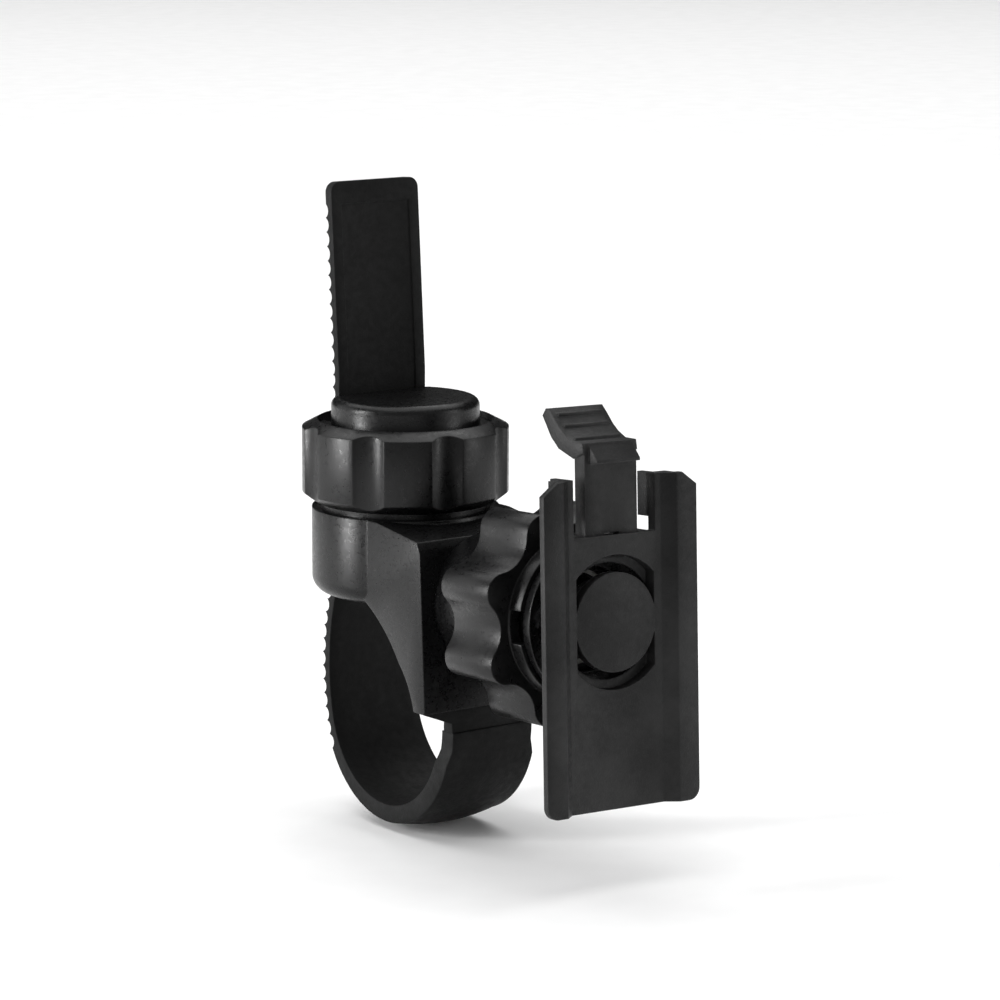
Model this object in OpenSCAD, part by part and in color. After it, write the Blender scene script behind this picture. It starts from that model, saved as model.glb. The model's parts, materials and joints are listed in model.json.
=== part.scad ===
// Handlebar mount for a phone case.
// A toothed strap loops under the bar and rises through a clamp body. A fluted ring nut on the body draws
// the strap tight. A ball socket on the front carries a rail plate with a sprung latch key.
// X runs along the bar, -Y is the front, Z is up, and the origin is on the bar's axis.

/* [Strap] */
// Radius of the bar space inside the strap loop
bar_r = 17.6; // [15.5:0.1:21]
// Strap thickness, tooth tips included
strap_t = 2.5; // [2.1:0.1:3]
// Strap width
strap_w = 19.8; // [16:0.1:21]
// Width of the strap's neck below the body
neck_w = 18; // [13:0.5:19]
// Radius of the loop's outer face below the bar
loop_r = 20.55; // [19.9:0.05:24]
// Extra thickness in the middle of the loop's underside
crown = 1.2; // [0.2:0.1:2]
// Distance of the loop's rearmost point behind the bar's axis
back_y = 20.8; // [19.9:0.1:22]
// Distance from one tooth to the next
tooth_pitch = 2.7; // [2.2:0.1:3.4]
// Radius of the hollow between two teeth
tooth_r = 1.45; // [1.2:0.05:1.8]
// Height of the hollow's centre outside the strap's face
tooth_out = 0.35; // [0.2:0.05:0.6]
// Thickness of the strap's plain end
end_t = 2; // [1.4:0.1:2.1]
// Height of the strap's free end above the bar's axis
tail_top = 98.5; // [80:0.1:120]
// Backward lean of the free end
tail_lean = 4; // [0:0.5:8]
// Width of each raised edge band on the strap's inner face
band_w = 2.2; // [1.5:0.1:4]
// Depth of the strap's inner face between its edge bands
band_h = 0.3; // [0.1:0.1:0.6]

/* [Tower] */
// Distance of the ring nut's axis behind the bar's axis
tower_y = 7; // [5:0.1:9]
// Radius of the collar under the ring nut
collar_r = 17.7; // [17:0.1:21]
// Height of the collar's underside above the bar's axis
collar_z = 21.4; // [20:0.1:26]
// Height of the collar
collar_h = 16.3; // [14:0.1:22]
// Fillet round the collar's underside
collar_fillet = 3.3; // [1:0.1:3.5]
// Radius of the strap guide's column
column_r = 12.9; // [12.5:0.1:13.2]
// Radius of the round cap
cap_r = 14; // [13.3:0.1:14.5]
// Height of the cap above the ring nut
cap_rise = 4.1; // [2:0.1:6]
// Rounding of the cap's top edge
cap_round = 1.7; // [0.5:0.1:1.8]

/* [Ring nut] */
// Outer radius of the ring nut
ring_r = 19.5; // [18.5:0.1:23.5]
// Height of the ring nut
ring_h = 15.5; // [14:0.1:20]
// Gap between collar and ring nut
ring_gap = 1.2; // [0.8:0.1:2]
// Number of flutes
flutes = 8; // [6:1:10]
// Radius of one flute
flute_r = 5.1; // [3.5:0.1:7]
// Depth of one flute
flute_depth = 1.3; // [0.6:0.1:2]
// Turn of the flutes about the ring's axis
flute_phase = 34; // [0:1:45]

/* [Arm and lock knob] */
// Width of the arm
arm_w = 30.2; // [28:0.1:36]
// Distance from the ring nut's axis to the arm's front face
arm_reach = 26.6; // [24:0.1:31]
// Upward tilt of the socket's axis
arm_tilt = 2.8; // [0:0.1:8]
// Height of the socket's axis above the bar's axis, at the ring nut's axis
socket_z = 22.8; // [21:0.1:25]
// Radius over the knob's lobes
knob_r = 20.5; // [19:0.1:25]
// Radius at the bottom of the knob's hollows
knob_valley_r = 16.7; // [15.9:0.1:18]
// Tip radius of one lobe
lobe_r = 3.6; // [2.5:0.1:4.5]
// Length of the lobed grip
knob_l = 14; // [11:0.1:17]
// Number of lobes
lobes = 8; // [6:1:10]
// Turn of the lobes about the socket's axis
lobe_phase = 21; // [0:1:45]

/* [Ball joint] */
// Distance from the ring nut's axis to the ball's centre
ball_reach = 48.2; // [47:0.1:49]
// Radius of the ball
ball_r = 9; // [8:0.1:9.4]
// Wall of the liner round the ball
liner_t = 0.85; // [0.6:0.05:1]
// Outer radius of the socket
socket_r = 12.6; // [12.2:0.1:13]
// Radius of the stud's hub
hub_r = 7.6; // [7.3:0.1:8]

/* [Rail plate] */
// Width of the plate
plate_w = 34; // [32:0.1:42]
// Height of the plate above the socket's axis
plate_up = 25.9; // [25:0.1:33]
// Height of the plate below the socket's axis
plate_down = 33.4; // [26:0.1:41]
// Distance from the ring nut's axis to the front of the rails
plate_reach = 66.9; // [66.4:0.1:72]
// Backward lean of the plate from square to the socket's axis
plate_lean = 1.3; // [-5:0.1:5]
// Roll of the plate about the socket's axis
plate_roll = -1.6; // [-5:0.1:5]
// Width of each rail's front face
rail_w = 4.4; // [3.5:0.1:5]
// Height of the rails above the web
rail_h = 1.9; // [1.2:0.1:2.1]
// Sideways run of the slope from rail to web
rail_slope = 2.3; // [1:0.1:2.6]
// Thickness of the rail's outer lip
lip_t = 1.3; // [1:0.1:2]
// Thickness of the web
web_t = 2.1; // [1.8:0.1:3]
// Radius of the centre disc
disc_r = 8.9; // [8:0.1:9.4]
// Outer radius of the arc windows
window_r = 12.05; // [11.5:0.05:12.2]
// Width across the arc windows
window_w = 17.4; // [14:0.1:18]
// Width of the key slot
slot_w = 18.2; // [15:0.1:20]
// Depth of the key slot
slot_d = 10.3; // [9:0.1:10.6]

/* [Latch key] */
// Width of the key
key_w = 11.5; // [9:0.1:12.5]
// Thickness of the key's stem
key_t = 2.9; // [2.4:0.1:3.2]
// Width of the hook
hook_w = 9.6; // [8:0.1:10.5]
// Width of the thumb lever
lever_w = 12; // [10:0.1:13]

/* [Hidden] */
$fn = 64;

// Clearances
running = 0.05;
thread_fit = 0.03;
seat = 0.1;
slack = 0.4;
eps = 0.01;
far = 60;

// Strap
strap_run = 7.6;
strap_in_y = tower_y + strap_run;
strap_out_y = strap_in_y + strap_t;
loop_y = -0.55;
loop_z = -0.3;
bulge_r = 48;
bulge_cos = (bulge_r - back_y + loop_y) / (bulge_r - loop_r);
bulge_low = -acos(bulge_cos);
bulge_y = loop_y - (bulge_r - loop_r) * cos(bulge_low);
bulge_z = loop_z - (bulge_r - loop_r) * sin(bulge_low);
bulge_high = acos((strap_out_y - bulge_y) / bulge_r);
join_z = bulge_z + bulge_r * sin(bulge_high);
lean_z = 62.2;
end_round = 2;
end_plain = 5.2;
tooth_first_z = -11.1;
neck_top = 1.8;
neck_low = -3.5;
full_low = -6.4;
neck_y = -20.9;
neck_t = 2.8;
tongue_t = 1.5;
tongue_w = 15;
tongue_y = -bar_r - 0.3;
pin_r = 1;
pin_z = 13.4;
pin_y = -bar_r + 0.6;
pin_blind = 9;
head_r = 2.2;

// Tower
floor_t = 6.6;
collar_top = collar_z + collar_h;
ring_z = collar_top + ring_gap;
ring_top = ring_z + ring_h;
ring_bore_r = norm([strap_w / 2, strap_run + strap_t]) + 0.35;
thread_depth = 0.65;
thread_w = 0.7;
lip_r = ring_r - 2.9;
recess_d = 3;
top_chamfer = 1.5;
base_chamfer_r = 2.4;
base_chamfer_h = 1.8;
washer_t = 0.45;
flange_t = 1.25;
flange_r = lip_r - 0.3;
guide_slot_w = strap_w + 2 * 0.3;
cap_top = ring_top + cap_rise;
screw_x = 7;
screw_y = -2;
screw_r = 1.5;
screw_head_r = 2.8;
screw_head_h = 1.9;
screw_reach = 10;

flare_out = bulge_y + sqrt(pow(bulge_r, 2) - pow(collar_z - bulge_z, 2)) - tower_y + slack;

// Arm
arm_z = 4.2;
arm_top_y = -5.4;
arm_front_z = collar_top - 1.7;
bevel_h = 1.9;
bevel_d = 0.9;
saddle_r = 30.8;
saddle_in = 17.75;
saddle_y = saddle_r - saddle_in;
saddle_z = -4.9;

// Socket, counted along its axis from the ring nut's axis
cavity_r = ball_r + liner_t + 2 * 0.15;
finger_end = ball_reach + 5.4;
finger_cone = 3;
finger_cone_r = 1.7;
finger_slot = 1.6;
finger_root = ball_reach - 6;
fingers = 4;
bolt_r = 2;
bolt_head_r = 3.6;
bolt_head_h = 2.3;
bolt_head_at = ball_reach - cavity_r - bolt_head_h - seat;
bolt_end = 13.5;
nut_flat = 7;
nut_t = 3.2;
nut_at = 14.3;

// Knob
knob_at = 39.2;
knob_front = knob_at + knob_l;
knob_bore_r = socket_r + 0.3;
barrel_r = 15;
barrel_l = 3.2;
notch_w = 6;
notches = 4;
notch_step = 0.3;
nose_r = 14.2;
nose_l = 2;
nose_at = knob_front + barrel_l;
nose_mouth_r = 9.5;
nose_dish = 1.7;
nose_spigot = 2.4;

// Ball and stud
ball_flat = ball_r - 1.5;
ball_back = 5.8;
shank_r = 3;
neck_r = 4.5;
hub_at = plate_reach - 7.4;
hub_t = 1;
hub_cone = 1.5;
ball_screw_r = 1.25;
ball_head_r = 3.2;
ball_head_h = 2;
ball_sink_r = 3.6;
plate_screw_x = 5.6;
plate_screw_r = 1;
plate_head_r = 1.8;
plate_head_h = 1.2;
plate_screw_l = 4.4;

// Plate, counted back from the rails' front
web_front = rail_h;
web_back = rail_h + web_t;
web_half = plate_w / 2 - rail_w - rail_slope;
body_half = plate_w / 2 - 4;
boss_r = 7.5;
corner_x = 3.2;
corner_y = 2.3;
foot_round = 2.3;
slot_low = plate_up - slot_d;
skirt_t = 1.2;
skirt_h = 1;
skirt_lip = 1.6;
skirt_lip_t = 0.5;
skirt_clear = 2.6;
cheek_h = 3;
cheek_from = 2.4;

// Key
stem_front = rail_h + 1;
stem_back = stem_front + key_t;
pivot_y = slot_low - 1.6;
pivot_n = stem_front + key_t / 2;
pivot_r = 0.8;
foot_r = key_t / 2 + 0.1;
pocket_half = key_w / 2 + 0.35;
pocket_front = stem_front - 0.15;
ear_t = 2.2;
ear_back = pivot_n + 1.9;
hook_y = plate_up + 2.4;
hook_n = 0.6;
rib_r = 0.45;
spring_wire = 0.3;
spring_r = 1.25;
spring_turns = 4;
spring_gap_w = 3.4;

body_black = [0.16, 0.16, 0.165];
strap_black = [0.11, 0.11, 0.115];
plate_black = [0.14, 0.14, 0.145];
liner_white = [0.75, 0.75, 0.72];
steel = [0.6, 0.6, 0.62];

// Places its children on the ring nut's axis
module on_tower(z = 0) {
    translate([0, tower_y, z]) children();
}

// Places its children on the socket's axis: +Z points out of the front and +Y points up
module on_socket(s = 0) {
    translate([0, tower_y, socket_z]) rotate([90 - arm_tilt, 0, 0]) translate([0, 0, s]) children();
}

// Places its children on the stud's axis, which swings about the ball's centre; s counts as for the socket
module on_stud(s = 0) {
    on_socket(ball_reach) rotate([-plate_lean, 0, 0]) rotate([0, 0, plate_roll])
        translate([0, 0, s - ball_reach]) children();
}

// Places its children on the plate, with the rails' front at z = 0
module on_plate() {
    on_stud(plate_reach) children();
}

// Extrudes an outline of (y, z) points along X, about the middle
module along_x(width) {
    rotate([90, 0, 90]) linear_extrude(height = width, center = true) children();
}

// Cylinder along X at (y, z)
module x_rod(r, width, y, z) {
    translate([0, y, z]) rotate([0, 90, 0]) cylinder(r = r, h = width, center = true);
}

// Tube along Z
module tube(r_out, r_in, h) {
    difference() {
        cylinder(r = r_out, h = h);
        translate([0, 0, -eps]) cylinder(r = r_in, h = h + 2 * eps);
    }
}

// Height at which a plane square to the socket's axis meets height z, as a y value
function face_y(s, z) = tower_y - (s - (z - socket_z) * sin(arm_tilt)) / cos(arm_tilt);

// ---- clamp body ----

function arm_outline() = [
    [tower_y, collar_top],
    [arm_top_y, collar_top],
    [face_y(arm_reach - bevel_d, arm_front_z), arm_front_z],
    [face_y(arm_reach, arm_front_z - bevel_h), arm_front_z - bevel_h],
    [face_y(arm_reach, arm_z), arm_z],
    [tower_y, arm_z]
];

module collar() {
    on_tower(collar_z) rotate_extrude() {
        union() {
            translate([0, collar_fillet]) square([collar_r, collar_h - collar_fillet]);
            square([collar_r - collar_fillet, collar_fillet + eps]);
            intersection() {
                translate([collar_r - collar_fillet, collar_fillet]) circle(r = collar_fillet);
                square([collar_r, collar_fillet]);
            }
        }
    }
}

module arm() {
    difference() {
        along_x(arm_w) polygon(arm_outline());
        x_rod(saddle_r, arm_w + 2, saddle_y, saddle_z);
        x_rod(bar_r, arm_w + 2, 0, 0);
    }
}

// Space for the strap's tongue and its pin
module strap_pocket() {
    translate([0, tongue_y - tongue_t / 2, (arm_z + pin_z) / 2])
        cube([tongue_w + 2 * seat, tongue_t + 2 * seat, pin_z - arm_z + 2 * eps], center = true);
    x_rod(head_r + seat, tongue_w + 2 * seat, pin_y, pin_z);
    translate([-pin_blind, pin_y, pin_z]) rotate([0, 90, 0])
        cylinder(r = pin_r + thread_fit, h = arm_w);
}

module nut_pocket() {
    on_socket(nut_at - seat) translate([-nut_flat / 2 - seat, -nut_flat * 2.3, 0])
        cube([nut_flat + 2 * seat, nut_flat * 2.3 + nut_flat * 0.58, nut_t + 2 * seat]);
}

module clamp_body() {
    color(body_black) difference() {
        union() {
            collar();
            arm();
        }
        on_tower(collar_z + floor_t) cylinder(r = column_r + running, h = collar_h);
        on_tower(collar_z - eps) translate([-guide_slot_w / 2, strap_run - slack, 0]) {
            cube([guide_slot_w, strap_t + 2 * slack, collar_h + 2 * eps]);
            cube([guide_slot_w, flare_out - strap_run + slack, join_z + 1 - collar_z]);
        }
        on_tower(collar_z) for (side = [-1, 1]) translate([side * screw_x, screw_y, 0]) {
            translate([0, 0, -eps]) cylinder(r = screw_head_r + seat, h = screw_head_h + seat);
            cylinder(r = screw_r + thread_fit, h = collar_h);
        }
        strap_pocket();
        on_socket(bolt_end - 1) cylinder(r = bolt_r + thread_fit, h = arm_reach);
        nut_pocket();
    }
}

// ---- tower ----

module guide_slot(z, h) {
    translate([-guide_slot_w / 2, strap_run - slack, z]) cube([guide_slot_w, far, h]);
}

module strap_guide() {
    flange_z = ring_top - recess_d + washer_t + 2 * running;
    column_z = collar_z + floor_t + running;
    color(body_black) on_tower() difference() {
        union() {
            translate([0, 0, column_z]) cylinder(r = column_r, h = flange_z - column_z + eps);
            translate([0, 0, flange_z]) cylinder(r = flange_r, h = flange_t);
            rotate_extrude() {
                translate([0, flange_z]) square([cap_r, cap_top - cap_round - flange_z]);
                translate([0, cap_top - cap_round - eps]) square([cap_r - cap_round, cap_round + eps]);
                intersection() {
                    translate([cap_r - cap_round, cap_top - cap_round]) circle(r = cap_round);
                    translate([0, cap_top - cap_round]) square([cap_r, cap_round]);
                }
            }
        }
        guide_slot(collar_z, far);
        for (side = [-1, 1]) translate([side * screw_x, screw_y, collar_z])
            cylinder(r = screw_r + thread_fit, h = floor_t + screw_reach + 1);
    }
}

module guide_screws() {
    color(steel) on_tower(collar_z) for (side = [-1, 1]) translate([side * screw_x, screw_y, 0]) {
        difference() {
            cylinder(r = screw_head_r, h = screw_head_h);
            translate([0, 0, -eps]) cylinder(r = 1.2, h = 1.1, $fn = 6);
        }
        translate([0, 0, screw_head_h]) cylinder(r = screw_r, h = floor_t + screw_reach - screw_head_h);
    }
}

module lower_washer() {
    color(liner_white) on_tower(collar_top) tube(ring_bore_r + 1.6, ring_bore_r, ring_gap - running);
}

module upper_washer() {
    color(liner_white) on_tower(ring_top - recess_d + running)
        tube(flange_r, ring_bore_r, washer_t);
}

// Ring nut's outline, inside and out, with its thread drawn as separate rings
module ring_outline() {
    groove_r = ring_bore_r + thread_depth;
    difference() {
        polygon([
            [ring_bore_r, 0],
            [ring_r - base_chamfer_r, 0],
            [ring_r, base_chamfer_h],
            [ring_r, ring_h - top_chamfer],
            [lip_r, ring_h],
            [lip_r, ring_h - recess_d],
            [ring_bore_r, ring_h - recess_d]
        ]);
        for (z = [tooth_pitch - 1 : tooth_pitch : ring_h - recess_d - tooth_pitch]) polygon([
            [ring_bore_r - 1, z],
            [ring_bore_r, z],
            [groove_r, z + thread_depth],
            [groove_r, z + tooth_pitch - thread_w - thread_depth],
            [ring_bore_r, z + tooth_pitch - thread_w],
            [ring_bore_r - 1, z + tooth_pitch - thread_w]
        ]);
    }
}

module ring_nut() {
    color(body_black) on_tower(ring_z) difference() {
        rotate_extrude() ring_outline();
        for (i = [0 : flutes - 1]) rotate([0, 0, flute_phase + i * 360 / flutes])
            translate([ring_r + flute_r - flute_depth, 0, -1]) cylinder(r = flute_r, h = ring_h + 2);
    }
}

// ---- strap ----

// One hollow between teeth on a curved stretch about (y, z)
module arc_tooth(y, z, r, angle) {
    x_rod(tooth_r, strap_w + 2, y + (r + tooth_out) * cos(angle), z + (r + tooth_out) * sin(angle));
}

module strap_head() {
    color(strap_black) difference() {
        union() {
            intersection() {
                along_x(far) polygon([
                    [neck_y, 0], [face_y(arm_reach, arm_z), arm_z],
                    [neck_y + neck_t, arm_z], [neck_y + neck_t, 0]
                ]);
                rotate([90, 0, 0]) linear_extrude(height = far, center = true) polygon([
                    [-arm_w / 2, arm_z], [arm_w / 2, arm_z],
                    [neck_w / 2, neck_top], [neck_w / 2, 0],
                    [-neck_w / 2, 0], [-neck_w / 2, neck_top]
                ]);
            }
            translate([-tongue_w / 2, tongue_y - tongue_t, arm_z - eps])
                cube([tongue_w, tongue_t, pin_z - arm_z]);
            x_rod(head_r, tongue_w, pin_y, pin_z);
        }
        x_rod(pin_r + thread_fit, tongue_w + 2, pin_y, pin_z);
    }
}

module strap_pin() {
    color(steel) translate([-pin_blind, pin_y, pin_z]) rotate([0, 90, 0])
        cylinder(r = pin_r, h = arm_w / 2 + pin_blind - 0.5);
}

// Narrow neck at the front of the loop: one side's cut
module neck_cut(side) {
    rotate([90, 0, 0]) linear_extrude(height = far) polygon([
        [side * neck_w / 2, 1], [side * neck_w / 2, neck_low],
        [side * strap_w / 2, full_low], [side * far / 2, full_low], [side * far / 2, 1]
    ]);
}

// Lower part of the loop, with its underside crowned across its width
module loop_low() {
    crown_n = 4;
    x_rod(loop_r, strap_w, loop_y, loop_z);
    translate([0, loop_y, loop_z - crown]) rotate([0, 90, 0]) rotate_extrude() polygon(concat(
        [[loop_r / 2, strap_w / 2], [loop_r / 2, -strap_w / 2]],
        [for (i = [-crown_n : crown_n]) [loop_r - crown * pow(i / crown_n, 2), i / crown_n * strap_w / 2]]
    ));
}

module strap_loop() {
    bulge_step = tooth_pitch / bulge_r * 180 / PI;
    loop_step = tooth_pitch / loop_r * 180 / PI;
    split_y = loop_y + far * cos(bulge_low);
    split_z = loop_z + far * sin(bulge_low);
    color(strap_black) difference() {
        union() {
            intersection() {
                difference() {
                    loop_low();
                    x_rod(bar_r, strap_w + 1, 0, 0);
                }
                along_x(far) polygon([
                    [-far, 0], [loop_y, 0], [loop_y, loop_z], [split_y, split_z], [split_y, -far], [-far, -far]
                ]);
            }
            intersection() {
                difference() {
                    x_rod(bulge_r, strap_w, bulge_y, bulge_z);
                    x_rod(bulge_r - strap_t, strap_w + 1, bulge_y, bulge_z);
                }
                along_x(far) polygon([[loop_y, loop_z], [split_y, split_z], [split_y, join_z], [loop_y, join_z]]);
            }
        }
        for (side = [-1, 1]) neck_cut(side);
        for (a = [bulge_low + bulge_step / 2 : bulge_step : bulge_high])
            arc_tooth(bulge_y, bulge_z, bulge_r, a);
        for (a = [bulge_low - loop_step / 2 : -loop_step : asin((tooth_first_z - loop_z) / loop_r)])
            arc_tooth(loop_y, loop_z, loop_r, a);
    }
}

// Outline of the tail's width, with a rounded free end
module tail_outline(length) {
    translate([-strap_w / 2, 0]) square([strap_w, length - end_round]);
    translate([-strap_w / 2 + end_round, 0]) square([strap_w - 2 * end_round, length]);
    for (side = [-1, 1]) translate([side * (strap_w / 2 - end_round), length - end_round])
        circle(r = end_round);
}

// Straight stretch of toothed strap that starts at z = 0, with its inner face at y = 0
module tail_run(length, plain) {
    difference() {
        translate([0, strap_t, 0]) rotate([90, 0, 0]) linear_extrude(height = strap_t)
            tail_outline(length + (plain ? 0 : end_round));
        if (!plain) translate([-far / 2, -far / 2, length]) cube([far, far, far]);
        translate([-strap_w / 2 + band_w, -1, -1])
            cube([strap_w - 2 * band_w, 1 + band_h, length + 2 - (plain ? end_plain : 0)]);
        if (plain) translate([-far / 2, end_t, length - end_plain]) cube([far, far, far]);
        for (z = [tooth_pitch / 2 : tooth_pitch : length - (plain ? end_plain : 0)])
            x_rod(tooth_r, strap_w + 2, strap_t + tooth_out, z);
    }
}

module strap_tail() {
    color(strap_black) {
        translate([0, strap_in_y, join_z]) tail_run(lean_z - join_z, false);
        translate([0, strap_in_y, lean_z]) rotate([-tail_lean, 0, 0])
            tail_run((tail_top - lean_z) / cos(tail_lean), true);
    }
}

// ---- socket and knob ----

module socket() {
    color(body_black) on_socket() difference() {
        union() {
            translate([0, 0, arm_reach]) cylinder(r = socket_r, h = finger_end - finger_cone - arm_reach);
            translate([0, 0, finger_end - finger_cone])
                cylinder(r1 = socket_r, r2 = socket_r - finger_cone_r, h = finger_cone);
        }
        translate([0, 0, ball_reach]) sphere(r = cavity_r);
        translate([0, 0, bolt_head_at]) cylinder(r = bolt_head_r + seat, h = cavity_r);
        translate([0, 0, arm_reach - 1]) cylinder(r = bolt_r + thread_fit, h = ball_reach - arm_reach);
        for (i = [0 : fingers - 1]) rotate([0, 0, (i + 0.5) * 360 / fingers])
            translate([0, -finger_slot / 2, finger_root]) cube([far, finger_slot, far]);
    }
}

module socket_screw() {
    color(steel) on_socket() difference() {
        union() {
            translate([0, 0, bolt_end]) cylinder(r = bolt_r, h = bolt_head_at - bolt_end + eps);
            translate([0, 0, bolt_head_at]) cylinder(r = bolt_head_r, h = bolt_head_h);
        }
        translate([0, 0, bolt_head_at + bolt_head_h - 1.4]) cylinder(r = 1.7, h = 2, $fn = 6);
    }
}

module socket_nut() {
    color(steel) on_socket(nut_at) difference() {
        rotate([0, 0, 30]) cylinder(r = nut_flat / sqrt(3), h = nut_t, $fn = 6);
        translate([0, 0, -1]) cylinder(r = bolt_r + thread_fit, h = nut_t + 2);
    }
}

// Lobed outline: arcs of the lobes and of the hollows between them meet smoothly
half_step = 180 / lobes;
lobe_at = knob_r - lobe_r;
hollow_r = (pow(lobe_at, 2) + pow(knob_valley_r, 2) - 2 * lobe_at * knob_valley_r * cos(half_step)
    - pow(lobe_r, 2)) / (2 * (lobe_r - knob_valley_r + lobe_at * cos(half_step)));
hollow_at = knob_valley_r + hollow_r;
// Angle of the line from a lobe's centre to a hollow's centre
meet = atan2(hollow_at * sin(half_step), hollow_at * cos(half_step) - lobe_at);
arc_n = 6;

function lobe_arc(turn) = [for (i = [-arc_n : arc_n]) let (a = turn + meet * i / arc_n)
    [lobe_at * cos(turn) + lobe_r * cos(a), lobe_at * sin(turn) + lobe_r * sin(a)]];
function hollow_arc(turn) = let (swing = meet - half_step) [for (i = [1 - arc_n : arc_n - 1])
    let (a = turn + 180 - swing * i / arc_n)
    [hollow_at * cos(turn) + hollow_r * cos(a), hollow_at * sin(turn) + hollow_r * sin(a)]];

module knob_outline() {
    polygon([for (k = [0 : lobes - 1]) let (turn = 2 * k * half_step)
        each concat(lobe_arc(turn), hollow_arc(turn + half_step))]);
}

module lock_knob() {
    color(body_black) on_socket(knob_at) difference() {
        union() {
            rotate([0, 0, 180 - lobe_phase]) linear_extrude(height = knob_l) knob_outline();
            translate([0, 0, knob_l - eps]) cylinder(r = barrel_r, h = barrel_l + eps);
        }
        translate([0, 0, -1]) cylinder(r = knob_bore_r, h = knob_l + barrel_l + 2);
        for (i = [0 : notches - 1]) rotate([0, 0, i * 360 / notches])
            translate([0, -notch_w / 2, knob_l + notch_step]) cube([far, notch_w, barrel_l + 1]);
    }
}

module nose_ring() {
    spigot_r = knob_bore_r - running;
    color(body_black) on_socket(nose_at) rotate_extrude() polygon([
        [nose_mouth_r, nose_l - nose_dish],
        [nose_r, nose_l],
        [nose_r, 0],
        [spigot_r, 0],
        [spigot_r, -nose_spigot],
        [spigot_r - 1.2, -nose_spigot],
        [nose_mouth_r, -nose_dish / 2]
    ]);
}

// ---- ball joint ----

module ball_liner() {
    color(liner_white) on_socket(ball_reach) intersection() {
        difference() {
            sphere(r = ball_r + 0.15 + liner_t);
            sphere(r = ball_r + 0.15);
        }
        translate([0, 0, -ball_r * 0.8]) cylinder(r = far / 2, h = ball_r * 1.3);
    }
}

module ball() {
    color(body_black) on_stud(ball_reach) difference() {
        sphere(r = ball_r);
        translate([0, 0, ball_flat]) cylinder(r = ball_r, h = ball_r);
        translate([0, 0, -ball_r]) cylinder(r = shank_r + running, h = 2 * ball_r);
        translate([0, 0, -ball_back - ball_r]) cylinder(r = ball_sink_r, h = ball_r);
    }
}

module stud() {
    hub_z = hub_at - ball_reach;
    shank_z = -ball_back - running;
    color(body_black) on_stud(ball_reach) difference() {
        union() {
            translate([0, 0, shank_z]) cylinder(r = shank_r, h = ball_flat - shank_z + 1);
            translate([0, 0, ball_flat + running]) cylinder(r = neck_r, h = hub_z - ball_flat);
            translate([0, 0, hub_z - hub_cone]) cylinder(r1 = neck_r, r2 = hub_r, h = hub_cone);
            translate([0, 0, hub_z]) cylinder(r = hub_r, h = hub_t);
        }
        translate([0, 0, shank_z - eps]) cylinder(r = ball_screw_r + thread_fit, h = 7);
        for (side = [-1, 1]) translate([side * plate_screw_x, 0, hub_z - 0.2]) {
            translate([0, 0, -hub_cone - 1]) cylinder(r = plate_head_r + seat, h = hub_cone + 1);
            cylinder(r = plate_screw_r + thread_fit, h = far);
        }
    }
}

module ball_screw() {
    color(steel) on_stud(ball_reach - ball_back - running) difference() {
        union() {
            translate([0, 0, -ball_head_h]) cylinder(r = ball_head_r, h = ball_head_h);
            cylinder(r = ball_screw_r, h = 6.5);
        }
        translate([0, 0, -ball_head_h - eps]) cylinder(r = 1.3, h = 1.2, $fn = 6);
    }
}

module plate_screws() {
    color(steel) on_stud(hub_at - 0.2)
        for (side = [-1, 1]) translate([side * plate_screw_x, 0, 0]) difference() {
            union() {
                translate([0, 0, -plate_head_h]) cylinder(r = plate_head_r, h = plate_head_h);
                cylinder(r = plate_screw_r, h = plate_screw_l);
            }
            translate([0, 0, -plate_head_h - eps]) cylinder(r = 0.8, h = 0.7, $fn = 6);
        }
}

// ---- rail plate ----

module plate_outline() {
    half = plate_w / 2;
    difference() {
        union() {
            polygon([
                [-half, foot_round - plate_down], [-half, plate_up - corner_y],
                [-half + corner_x, plate_up], [half - corner_x, plate_up],
                [half, plate_up - corner_y], [half, foot_round - plate_down]
            ]);
            translate([-half + foot_round, -plate_down]) square([plate_w - 2 * foot_round, foot_round + eps]);
            for (side = [-1, 1]) translate([side * (half - foot_round), foot_round - plate_down])
                circle(r = foot_round);
        }
        translate([-slot_w / 2, slot_low]) square([slot_w, slot_d + 1]);
    }
}

// Cross-section through the rails and web, seen from above, with the rails' front at 0
module rail_section() {
    half = plate_w / 2;
    polygon([
        [-half, 0], [-half + rail_w, 0], [-web_half, -web_front],
        [web_half, -web_front], [half - rail_w, 0], [half, 0],
        [half, -lip_t], [body_half, -lip_t], [body_half, -web_back],
        [-body_half, -web_back], [-body_half, -lip_t], [-half, -lip_t]
    ]);
}

module windows() {
    intersection() {
        difference() {
            cylinder(r = window_r, h = far, center = true);
            cylinder(r = disc_r, h = far + 1, center = true);
        }
        cube([window_w, far, far], center = true);
    }
}

// Low wall round the arc windows, on the web's back, with a lip that turns in at its rear edge
module window_skirt() {
    translate([0, 0, -web_back - skirt_h]) difference() {
        intersection() {
            cylinder(r = window_r + skirt_t, h = skirt_h + eps);
            translate([-window_w / 2 - skirt_t, -far / 2, 0]) cube([window_w + 2 * skirt_t, far, skirt_h + eps]);
            translate([-far / 2, -far / 2, 0]) cube([far, far / 2 + pivot_y - skirt_clear, far]);
        }
        intersection() {
            union() {
                translate([0, 0, skirt_lip_t]) cylinder(r = window_r, h = far);
                translate([0, 0, -1]) cylinder(r = window_r - skirt_lip, h = far);
            }
            translate([-window_w / 2, -far / 2, -1]) cube([window_w, far, far]);
        }
    }
}

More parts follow.
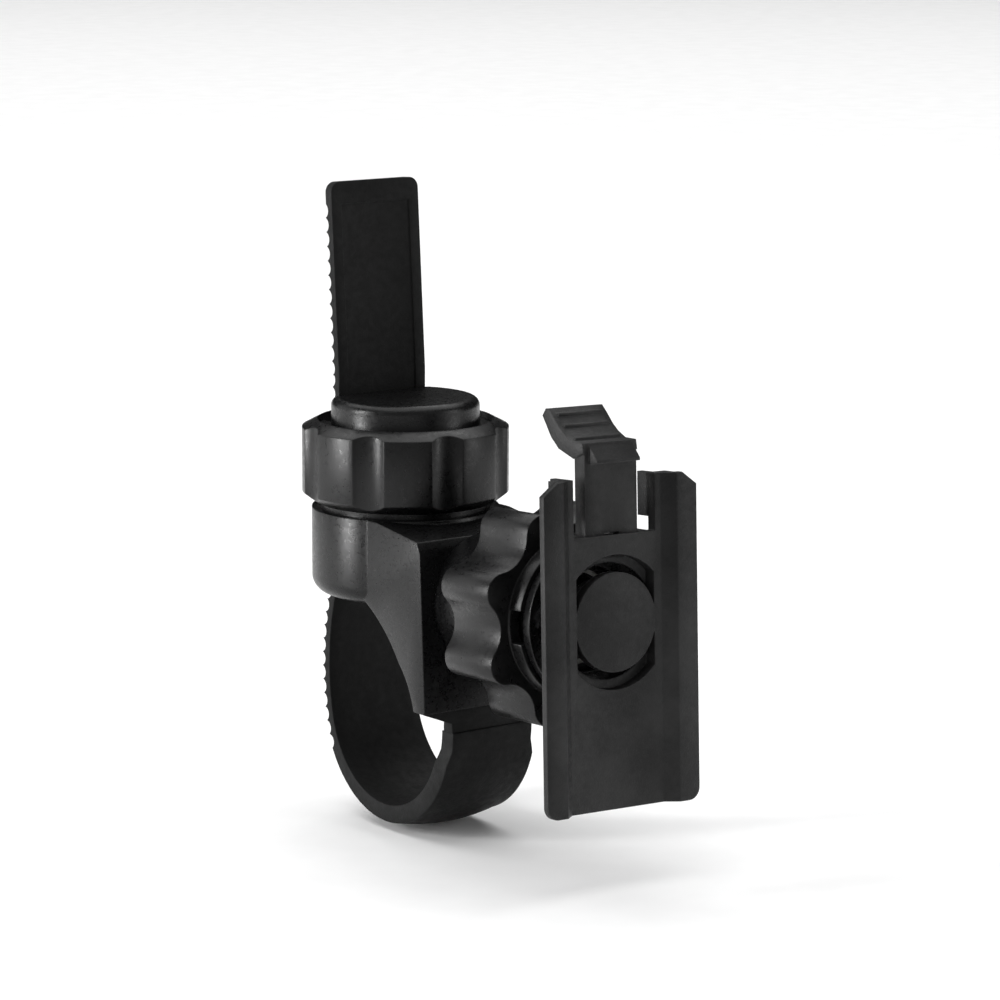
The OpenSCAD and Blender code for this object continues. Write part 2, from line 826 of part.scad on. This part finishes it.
module rail_plate() {
    color(plate_black) on_plate() difference() {
        union() {
            difference() {
                intersection() {
                    translate([0, 0, -far / 2]) linear_extrude(height = far) plate_outline();
                    translate([0, far, 0]) rotate([90, 0, 0]) linear_extrude(height = 2 * far) rail_section();
                }
                windows();
                translate([-pocket_half, window_r + 0.2, -far - pocket_front])
                    cube([2 * pocket_half, far, far]);
            }
            translate([0, 0, hub_at + hub_t - plate_reach])
                cylinder(r = boss_r, h = plate_reach - hub_at - hub_t - web_back + eps);
            for (side = [-1, 1]) translate([side * (pocket_half + ear_t / 2), pivot_y + 0.2, 0])
                translate([-ear_t / 2, -1.7, -ear_back]) cube([ear_t, 3.2, ear_back - web_front - 1]);
            window_skirt();
            for (side = [-1, 1]) translate([side * (slot_w + skirt_t) / 2, slot_low + cheek_from, 0])
                translate([-skirt_t / 2, 0, -web_back - cheek_h])
                    cube([skirt_t, slot_d - cheek_from, cheek_h + eps]);
        }
        for (side = [-1, 1]) translate([side * plate_screw_x, 0, hub_at - plate_reach - 1])
            cylinder(r = plate_screw_r + thread_fit, h = plate_screw_l + 1);
        translate([0, pivot_y, -pivot_n]) rotate([0, 90, 0])
            cylinder(r = pivot_r + thread_fit, h = 2 * (pocket_half + ear_t) - 1, center = true);
    }
}

// ---- latch key ----

// Turns an outline of (depth behind the rails, height) points into a solid across the key
module key_slab(width) {
    translate([-width / 2, 0, 0]) rotate([0, 90, 0]) linear_extrude(height = width) children();
}

// Hook that stands over the top of the plate
function hook_outline() = [
    [stem_back - 1, hook_y], [stem_front, hook_y], [hook_n, hook_y + 0.25], [hook_n, hook_y + 0.75],
    [stem_front + 0.3, hook_y + 3.75], [stem_back - 1, hook_y + 3.75]
];

// Thumb lever that scoops up and back from the hook's ridge
function lever_outline() = [
    [stem_front, hook_y + 2], [stem_front + 0.3, hook_y + 3.75], [stem_back + 0.4, hook_y + 3.9],
    [stem_back + 2.4, hook_y + 4.9], [stem_back + 4, hook_y + 6.15], [stem_back + 5.7, hook_y + 8],
    [stem_back + 7.1, hook_y + 9.35], [stem_back + 7.9, hook_y + 9.3], [stem_back + 8.9, hook_y + 8],
    [stem_back + 6.4, hook_y + 4.25], [stem_back + 4.3, hook_y + 2.4], [stem_back, hook_y + 0.85]
];

module latch_key() {
    color(plate_black) on_plate() difference() {
        union() {
            key_slab(key_w) polygon([
                [stem_front, pivot_y], [stem_front, hook_y + 3.75],
                [stem_back, hook_y + 3.8], [stem_back, pivot_y]
            ]);
            key_slab(key_w) translate([pivot_n, pivot_y]) circle(r = foot_r);
            key_slab(hook_w) polygon(hook_outline());
            key_slab(lever_w) polygon(lever_outline());
            for (p = [[1, 4.1], [4.1, 6.2], [5.9, 8.15]])
                key_slab(lever_w - 2) translate([stem_back + p[0], hook_y + p[1]]) circle(r = rib_r);
        }
        translate([0, pivot_y, -pivot_n]) rotate([0, 90, 0])
            cylinder(r = pivot_r + running, h = key_w + 2, center = true);
        translate([-spring_gap_w / 2, pivot_y - foot_r - 1, -pivot_n - foot_r - 1])
            cube([spring_gap_w, 2 * foot_r + 1.4, 2 * foot_r + 2]);
    }
}

module latch_pin() {
    color(steel) on_plate() translate([0, pivot_y, -pivot_n]) rotate([0, 90, 0])
        cylinder(r = pivot_r, h = 2 * (pocket_half + ear_t) - 1.2, center = true);
}

// Turns of the latch's torsion spring, side by side on the pin
module latch_spring() {
    step = 2 * spring_wire + 0.02;
    color(steel) on_plate() translate([0, pivot_y, -pivot_n]) rotate([0, 90, 0])
        for (i = [0 : spring_turns - 1]) translate([0, 0, (i - (spring_turns - 1) / 2) * step])
            rotate_extrude() translate([spring_r, 0]) circle(r = spring_wire);
}

clamp_body();
strap_guide();
guide_screws();
lower_washer();
upper_washer();
strap_head();
strap_loop();
strap_pin();
socket();
socket_screw();
socket_nut();
ring_nut();
strap_tail();
lock_knob();
nose_ring();
ball_liner();
ball();
stud();
ball_screw();
plate_screws();
rail_plate();
latch_key();
latch_pin();
latch_spring();
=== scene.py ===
import bpy
import bmesh
import json
import math
from mathutils import Matrix, Vector


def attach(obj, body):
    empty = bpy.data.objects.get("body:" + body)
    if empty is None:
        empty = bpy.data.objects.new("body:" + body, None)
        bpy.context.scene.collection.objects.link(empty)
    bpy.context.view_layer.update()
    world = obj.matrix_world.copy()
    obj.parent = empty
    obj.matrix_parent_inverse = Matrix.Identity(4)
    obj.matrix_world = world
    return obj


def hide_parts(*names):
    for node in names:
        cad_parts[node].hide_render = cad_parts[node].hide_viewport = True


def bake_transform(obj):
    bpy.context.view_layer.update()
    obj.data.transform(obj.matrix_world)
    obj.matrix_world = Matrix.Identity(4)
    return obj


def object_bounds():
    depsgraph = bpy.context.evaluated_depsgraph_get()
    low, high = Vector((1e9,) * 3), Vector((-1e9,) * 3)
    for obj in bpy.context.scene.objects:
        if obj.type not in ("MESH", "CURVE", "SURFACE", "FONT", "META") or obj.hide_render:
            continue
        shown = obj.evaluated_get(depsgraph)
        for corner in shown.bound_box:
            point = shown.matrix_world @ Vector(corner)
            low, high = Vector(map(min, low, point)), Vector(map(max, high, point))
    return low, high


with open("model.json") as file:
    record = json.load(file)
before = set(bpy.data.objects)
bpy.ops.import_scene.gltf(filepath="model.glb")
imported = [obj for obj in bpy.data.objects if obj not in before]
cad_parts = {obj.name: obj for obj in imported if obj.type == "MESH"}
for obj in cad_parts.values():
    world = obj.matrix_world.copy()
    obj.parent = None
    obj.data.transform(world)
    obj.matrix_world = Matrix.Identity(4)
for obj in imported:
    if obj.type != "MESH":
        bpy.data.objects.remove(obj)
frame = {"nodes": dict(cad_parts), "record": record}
cad_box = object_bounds()


# ---- camera: the photograph's viewpoint ----

CAMERA_AT = (-0.42196, -0.59693, 0.17396)
CAMERA_TURN, CAMERA_TIP, CAMERA_ROLL = 36.33, 10.41, 0.20
CAMERA_LENS, CAMERA_SENSOR, CAMERA_FAR = 142.6, 36, 20


def place_camera():
    turn, tip, roll = math.radians(CAMERA_TURN), math.radians(CAMERA_TIP), math.radians(CAMERA_ROLL)
    look = Vector((math.sin(turn) * math.cos(tip), math.cos(turn) * math.cos(tip), -math.sin(tip)))
    right = Vector((math.cos(turn), -math.sin(turn), 0))
    up = right.cross(look)
    r = math.cos(roll) * right + math.sin(roll) * up
    u = math.cos(roll) * up - math.sin(roll) * right
    data = bpy.data.cameras.new("camera")
    data.lens = CAMERA_LENS
    data.sensor_width = CAMERA_SENSOR
    data.clip_end = CAMERA_FAR
    cam = bpy.data.objects.new("camera", data)
    m = Matrix((r, u, -look)).transposed().to_4x4()
    m.translation = Vector(CAMERA_AT)
    cam.matrix_world = m
    bpy.context.collection.objects.link(cam)
    bpy.context.scene.camera = cam


place_camera()


# ---- materials ----

# Noise scales per metre, and bump heights and edge radii in metres
CLOUD_SCALE, SCUFF_SCALE = 90, 420
MOULD_BUMP, STEEL_BUMP, POLYMER_BUMP = 0.00006, 0.00002, 0.00003
EDGE, FINE_EDGE, PLATE_EDGE = 0.00035, 0.0001, 0.00042
BEVEL_SAMPLES = 4
RUBBED_GLOSS = 0.12


def nodes_of(name):
    mat = bpy.data.materials.new(name)
    mat.use_nodes = True
    tree = mat.node_tree
    return mat, tree, tree.nodes["Principled BSDF"]


def add(tree, kind, **values):
    n = tree.nodes.new(kind)
    for k, v in values.items():
        if k in n.inputs:
            n.inputs[k].default_value = v
        else:
            setattr(n, k, v)
    return n


def noise(tree, coord, scale, detail=2.0, rough=0.5):
    n = add(tree, "ShaderNodeTexNoise", Scale=scale, Detail=detail, Roughness=rough)
    tree.links.new(coord, n.inputs["Vector"])
    return n.outputs["Fac"]


def ramp(tree, fac, low, high, a=0.35, b=0.65):
    """low where fac is a, high where it is b, and even steps between."""
    n = add(tree, "ShaderNodeMapRange", clamp=True)
    n.inputs["From Min"].default_value = a
    n.inputs["From Max"].default_value = b
    n.inputs["To Min"].default_value = low
    n.inputs["To Max"].default_value = high
    tree.links.new(fac, n.inputs["Value"])
    return n.outputs["Result"]


def mix_color(tree, fac, a, b):
    n = tree.nodes.new("ShaderNodeMix")
    n.data_type = "RGBA"
    tree.links.new(fac, n.inputs[0])
    for socket, v in ((n.inputs[6], a), (n.inputs[7], b)):
        if isinstance(v, tuple):
            socket.default_value = (*v, 1)
        else:
            tree.links.new(v, socket)
    return n.outputs[2]


def math_node(tree, op, a, b):
    n = tree.nodes.new("ShaderNodeMath")
    n.operation = op
    for i, v in enumerate((a, b)):
        if isinstance(v, (int, float)):
            n.inputs[i].default_value = v
        else:
            tree.links.new(v, n.inputs[i])
    return n.outputs[0]


def edge_mask(tree, radius):
    """1 along outer and inner edges, fading out within radius."""
    bevel = add(tree, "ShaderNodeBevel", samples=BEVEL_SAMPLES, Radius=radius)
    geo = tree.nodes.new("ShaderNodeNewGeometry")
    dot = tree.nodes.new("ShaderNodeVectorMath")
    dot.operation = "DOT_PRODUCT"
    tree.links.new(bevel.outputs[0], dot.inputs[0])
    tree.links.new(geo.outputs["Normal"], dot.inputs[1])
    return ramp(tree, dot.outputs["Value"], 1.0, 0.0, 0.75, 0.96)


def moulded(name, dark, light, rough, grain, depth, worn_and_highlight, spec, edge=EDGE):
    """Moulded black plastic or rubber: fine grain, soft tone patches, faint scuffs, and edges lightened as
    rubbed wear and a painted edge highlight.
    """
    mat, tree, bsdf = nodes_of(name)
    coord = tree.nodes.new("ShaderNodeTexCoord").outputs["Object"]
    fine = noise(tree, coord, grain, 2.0, 0.6)
    mid = noise(tree, coord, grain * 0.3, 3.0, 0.55)
    cloud = noise(tree, coord, CLOUD_SCALE, 3.0, 0.5)
    scuff = noise(tree, coord, SCUFF_SCALE, 6.0, 0.75)
    tone = mix_color(tree, ramp(tree, cloud, 0.0, 1.0), dark, light)
    tone = mix_color(tree, ramp(tree, fine, 0.0, 0.35, 0.5, 0.75), tone, light)
    # Edges take a lighter colour: partly rubbed wear, partly a painted edge highlight
    wear_and_highlight = math_node(tree, "MULTIPLY", edge_mask(tree, edge), ramp(tree, scuff, 0.25, 1.0, 0.35, 0.7))
    tone = mix_color(tree, wear_and_highlight, tone, worn_and_highlight)
    tree.links.new(tone, bsdf.inputs["Base Color"])
    r = ramp(tree, mid, rough - 0.05, rough + 0.07)
    r = math_node(tree, "SUBTRACT", r, math_node(tree, "MULTIPLY", wear_and_highlight, RUBBED_GLOSS))
    tree.links.new(r, bsdf.inputs["Roughness"])
    bsdf.inputs["Specular IOR Level"].default_value = spec
    height = math_node(tree, "ADD", fine, math_node(tree, "MULTIPLY", mid, 0.6))
    bump = add(tree, "ShaderNodeBump", Strength=depth, Distance=MOULD_BUMP)
    round_edge = add(tree, "ShaderNodeBevel", samples=BEVEL_SAMPLES, Radius=edge)
    tree.links.new(height, bump.inputs["Height"])
    tree.links.new(round_edge.outputs[0], bump.inputs["Normal"])
    tree.links.new(bump.outputs[0], bsdf.inputs["Normal"])
    return mat


def machined(name, colour, rough, axis_scale):
    """Turned steel: fine lines across the piece and small tone changes."""
    mat, tree, bsdf = nodes_of(name)
    coord = tree.nodes.new("ShaderNodeTexCoord").outputs["Object"]
    stretch = add(tree, "ShaderNodeMapping", Scale=axis_scale)
    tree.links.new(coord, stretch.inputs["Vector"])
    lines = noise(tree, stretch.outputs[0], 1.0, 3.0, 0.6)
    cloud = noise(tree, coord, 500, 3.0, 0.5)
    dull = tuple(c * 0.72 for c in colour)
    tree.links.new(mix_color(tree, ramp(tree, cloud, 0.0, 1.0), colour, dull), bsdf.inputs["Base Color"])
    tree.links.new(ramp(tree, lines, rough - 0.08, rough + 0.1), bsdf.inputs["Roughness"])
    bsdf.inputs["Metallic"].default_value = 1.0
    bump = add(tree, "ShaderNodeBump", Strength=0.35, Distance=STEEL_BUMP)
    tree.links.new(lines, bump.inputs["Height"])
    tree.links.new(bump.outputs[0], bsdf.inputs["Normal"])
    return mat


def polymer(name, colour):
    """Pale bearing plastic, faintly mottled and waxy."""
    mat, tree, bsdf = nodes_of(name)
    coord = tree.nodes.new("ShaderNodeTexCoord").outputs["Object"]
    cloud = noise(tree, coord, 260, 4.0, 0.6)
    grit = noise(tree, coord, 5200, 2.0, 0.5)
    dull = tuple(c * 0.8 for c in colour)
    tree.links.new(mix_color(tree, ramp(tree, cloud, 0.0, 1.0), colour, dull), bsdf.inputs["Base Color"])
    tree.links.new(ramp(tree, grit, 0.32, 0.46), bsdf.inputs["Roughness"])
    bump = add(tree, "ShaderNodeBump", Strength=0.25, Distance=POLYMER_BUMP)
    tree.links.new(grit, bump.inputs["Height"])
    tree.links.new(bump.outputs[0], bsdf.inputs["Normal"])
    return mat


# The worn colours lighten the edges: partly rubbed wear, partly a painted edge highlight
BODY = moulded("body_plastic", dark=(0.0018, 0.0018, 0.0019), light=(0.0035, 0.0035, 0.0037),
               worn_and_highlight=(0.045, 0.045, 0.046), rough=0.3, grain=4200, depth=0.3, spec=0.26)
GRIP = moulded("grip_plastic", dark=(0.002, 0.002, 0.0021), light=(0.004, 0.004, 0.0042),
               worn_and_highlight=(0.035, 0.035, 0.036), rough=0.32, grain=3600, depth=0.35, spec=0.28)
PLATE = moulded("plate_plastic", dark=(0.0035, 0.0035, 0.0036), light=(0.016, 0.016, 0.0161),
                worn_and_highlight=(0.075, 0.075, 0.076), rough=0.48, grain=3400, depth=1.0, spec=0.25, edge=PLATE_EDGE)
STRAP = moulded("strap_rubber", dark=(0.0025, 0.0026, 0.0026), light=(0.0055, 0.0056, 0.0056),
                worn_and_highlight=(0.012, 0.012, 0.012), rough=0.62, grain=2600, depth=0.9, spec=0.16)
WASHER = moulded("washer_plastic", dark=(0.002, 0.002, 0.0021), light=(0.004, 0.004, 0.0042),
                 worn_and_highlight=(0.01, 0.01, 0.01), rough=0.3, grain=5000, depth=0.15, spec=0.25, edge=FINE_EDGE)
STEEL = machined("screw_steel", (0.56, 0.56, 0.58), 0.3, (900, 900, 9000))
LINER = polymer("bearing_polymer", (0.7, 0.7, 0.66))

# Every node that isn't named here is steel
LOOKS = {
    "clamp_body": BODY, "strap_guide": BODY, "socket": BODY, "nose_ring": BODY, "ball": BODY, "stud": BODY,
    "ring_nut": GRIP, "lock_knob": GRIP, "rail_plate": PLATE, "latch_key": PLATE,
    "strap_head": STRAP, "strap_loop": STRAP, "strap_tail": STRAP,
    "lower_washer": WASHER, "upper_washer": WASHER, "ball_liner": LINER,
}


def dress(obj, mat):
    obj.data.materials.clear()
    obj.data.materials.append(mat)


for node_name, obj in frame["nodes"].items():
    mat = LOOKS.get(node_name, STEEL)
    for s in obj.material_slots:
        s.material = mat


# ---- pieces ----

def owner(node_name):
    return next(b for b, names in frame["record"]["behaviour"]["bodies"].items() if node_name in names)


WELD = 2e-6
FLAT_ANGLE, SHARP_ANGLE, SMOOTH_ANGLE = 0.6, 28, 32
EDGE_SEGMENTS = 2
SPLIT_PASSES = 3


def triangulate_large(bm):
    bmesh.ops.triangulate(bm, faces=[f for f in bm.faces if len(f.verts) > 4])


def refine(node_name, width, split=0.0):
    """A moulded copy of a CAD node: flat faces joined into whole faces, then every sharp edge rounded by
    width. Where split is given, edges longer than that are halved."""
    src = frame["nodes"][node_name]
    bm = bmesh.new()
    bm.from_mesh(src.data)
    bmesh.ops.remove_doubles(bm, verts=bm.verts, dist=WELD)
    bmesh.ops.dissolve_limit(bm, angle_limit=math.radians(FLAT_ANGLE), verts=bm.verts, edges=bm.edges)
    limit = math.radians(SHARP_ANGLE)
    sharp = [e for e in bm.edges if len(e.link_faces) == 2 and e.calc_face_angle(0) > limit]
    bmesh.ops.bevel(bm, geom=sharp, offset=width, offset_type="OFFSET", segments=EDGE_SEGMENTS, profile=0.5,
                    affect="EDGES", clamp_overlap=True, loop_slide=True, miter_outer="ARC")
    triangulate_large(bm)
    for _ in range(SPLIT_PASSES if split else 0):
        long = [e for e in bm.edges if e.calc_length() > split]
        if long:
            bmesh.ops.subdivide_edges(bm, edges=long, cuts=1)
            triangulate_large(bm)
    me = bpy.data.meshes.new(node_name + "_moulded")
    bm.to_mesh(me)
    bm.free()
    for p in me.polygons:
        p.use_smooth = True
    me.set_sharp_from_angle(angle=math.radians(SMOOTH_ANGLE))
    o = bpy.data.objects.new(node_name + "_moulded", me)
    bpy.context.collection.objects.link(o)
    dress(o, LOOKS[node_name])
    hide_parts(node_name)
    return o


# Rounding of each piece's edges
ROUNDING = {
    "clamp_body": 0.0004, "strap_guide": 0.0002, "ring_nut": 0.0004, "lock_knob": 0.0004,
    "nose_ring": 0.0002, "rail_plate": 0.0003, "latch_key": 0.0003, "socket": 0.0002,
    "strap_head": 0.00025, "strap_tail": 0.00008,
}
for node_name, width in ROUNDING.items():
    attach(refine(node_name, width), owner(node_name))

# The loop is split into short edges and its placement baked into the mesh; it joins no body
loop = refine("strap_loop", ROUNDING["strap_tail"], split=0.004)
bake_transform(loop)


# ---- floor and light ----

FLOOR_RADIUS, FLOOR_GAP = 4.0, 0.0005


def floor():
    bm = bmesh.new()
    bmesh.ops.create_circle(bm, cap_ends=True, segments=96, radius=FLOOR_RADIUS)
    me = bpy.data.meshes.new("floor")
    bm.to_mesh(me)
    bm.free()
    o = bpy.data.objects.new("floor", me)
    o.location = (0, 0, cad_box[0][2] - FLOOR_GAP)
    bpy.context.collection.objects.link(o)
    mat, tree, bsdf = nodes_of("floor_paint")
    coord = tree.nodes.new("ShaderNodeTexCoord").outputs["Object"]
    patches = ramp(tree, noise(tree, coord, 60), 0.0, 1.0)
    tree.links.new(mix_color(tree, patches, (0.9, 0.9, 0.9), (0.93, 0.93, 0.93)), bsdf.inputs["Base Color"])
    bsdf.inputs["Roughness"].default_value = 0.9
    bsdf.inputs["Specular IOR Level"].default_value = 0.1
    dress(o, mat)


def softbox(name, at, aim, size, power):
    data = bpy.data.lights.new(name, "AREA")
    data.shape = "RECTANGLE"
    data.size, data.size_y = size
    data.energy = power
    o = bpy.data.objects.new(name, data)
    o.location = at
    o.rotation_euler = (Vector(aim) - Vector(at)).to_track_quat("-Z", "Y").to_euler()
    bpy.context.collection.objects.link(o)


def studio():
    """A dim room, lighter towards the front left, with a narrow key light on the left and a broad overhead
    light that keeps the floor pale."""
    world = bpy.data.worlds.new("studio")
    world.use_nodes = True
    tree = world.node_tree
    back = tree.nodes["Background"]
    coord = tree.nodes.new("ShaderNodeTexCoord").outputs["Generated"]
    toward = tree.nodes.new("ShaderNodeVectorMath")
    toward.operation = "DOT_PRODUCT"
    toward.inputs[1].default_value = (-0.35, -0.85, 0.4)
    tree.links.new(coord, toward.inputs[0])
    tree.links.new(ramp(tree, toward.outputs["Value"], 0.03, 0.4, -0.2, 0.9), back.inputs["Strength"])
    back.inputs["Color"].default_value = (1, 1, 1, 1)
    bpy.context.scene.world = world
    bpy.context.scene.view_settings.view_transform = "Standard"
    centre = (0.0, -0.015, 0.035)
    softbox("key_left", (-0.86, 0.30, 0.16), centre, (0.16, 0.6), 11)
    softbox("back_left", (-0.55, 0.85, 0.3), centre, (0.7, 0.7), 1.6)
    softbox("side_right", (0.75, -0.75, 0.25), centre, (0.35, 0.6), 2)
    softbox("overhead", (0.5, 1.0, 2.6), (0.5, 1.0, 0), (4.4, 4.4), 120)


floor()
studio()
